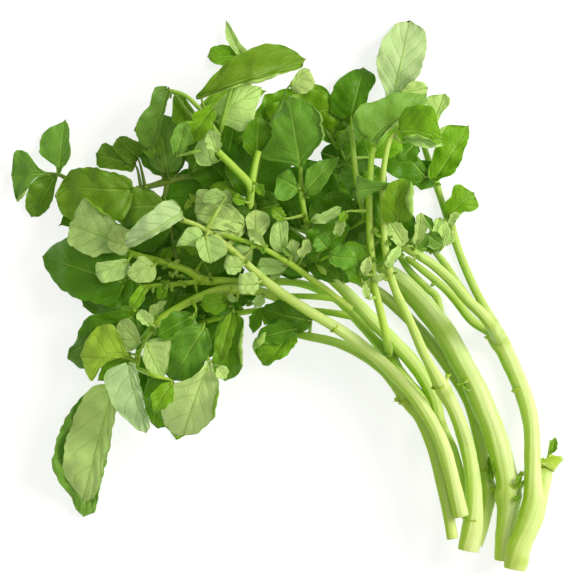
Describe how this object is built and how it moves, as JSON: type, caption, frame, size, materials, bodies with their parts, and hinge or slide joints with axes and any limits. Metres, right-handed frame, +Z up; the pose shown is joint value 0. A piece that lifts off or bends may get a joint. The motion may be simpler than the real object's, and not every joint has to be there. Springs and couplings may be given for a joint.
{
  "type": "cut watercress bunch",
  "caption": "Cut bunch of leafy watercress lying on its side: thick pale stems fan out from the cut ends into overlapping rounded green leaflets.",
  "frame": {"origin": "middle of the bunch's bounding box, on the surface it lies on", "axes": "+Z up from the surface; +X towards the side where the cut stem ends lie and -Y towards those ends; the leaves fan out to -X and +Y"},
  "size_m": [0.2194, 0.2231, 0.0591],
  "materials": {
    "leafy_stem_01": "satin",
    "leafy_stem_02": "satin",
    "leafy_stem_03": "satin",
    "leafy_stem_04": "satin",
    "leafy_stem_05": "satin",
    "leafy_stem_06": "satin",
    "leafy_stem_07": "satin",
    "leafy_stem_08": "satin",
    "leafy_stem_09": "satin"
  },
  "bodies": {
    "root": {"leafy_stem_01": "leafy_stem_01", "leafy_stem_02": "leafy_stem_02", "leafy_stem_03": "leafy_stem_03", "leafy_stem_04": "leafy_stem_04", "leafy_stem_05": "leafy_stem_05", "leafy_stem_06": "leafy_stem_06", "leafy_stem_07": "leafy_stem_07", "leafy_stem_08": "leafy_stem_08", "leafy_stem_09": "leafy_stem_09"}
  },
  "joints": []
}
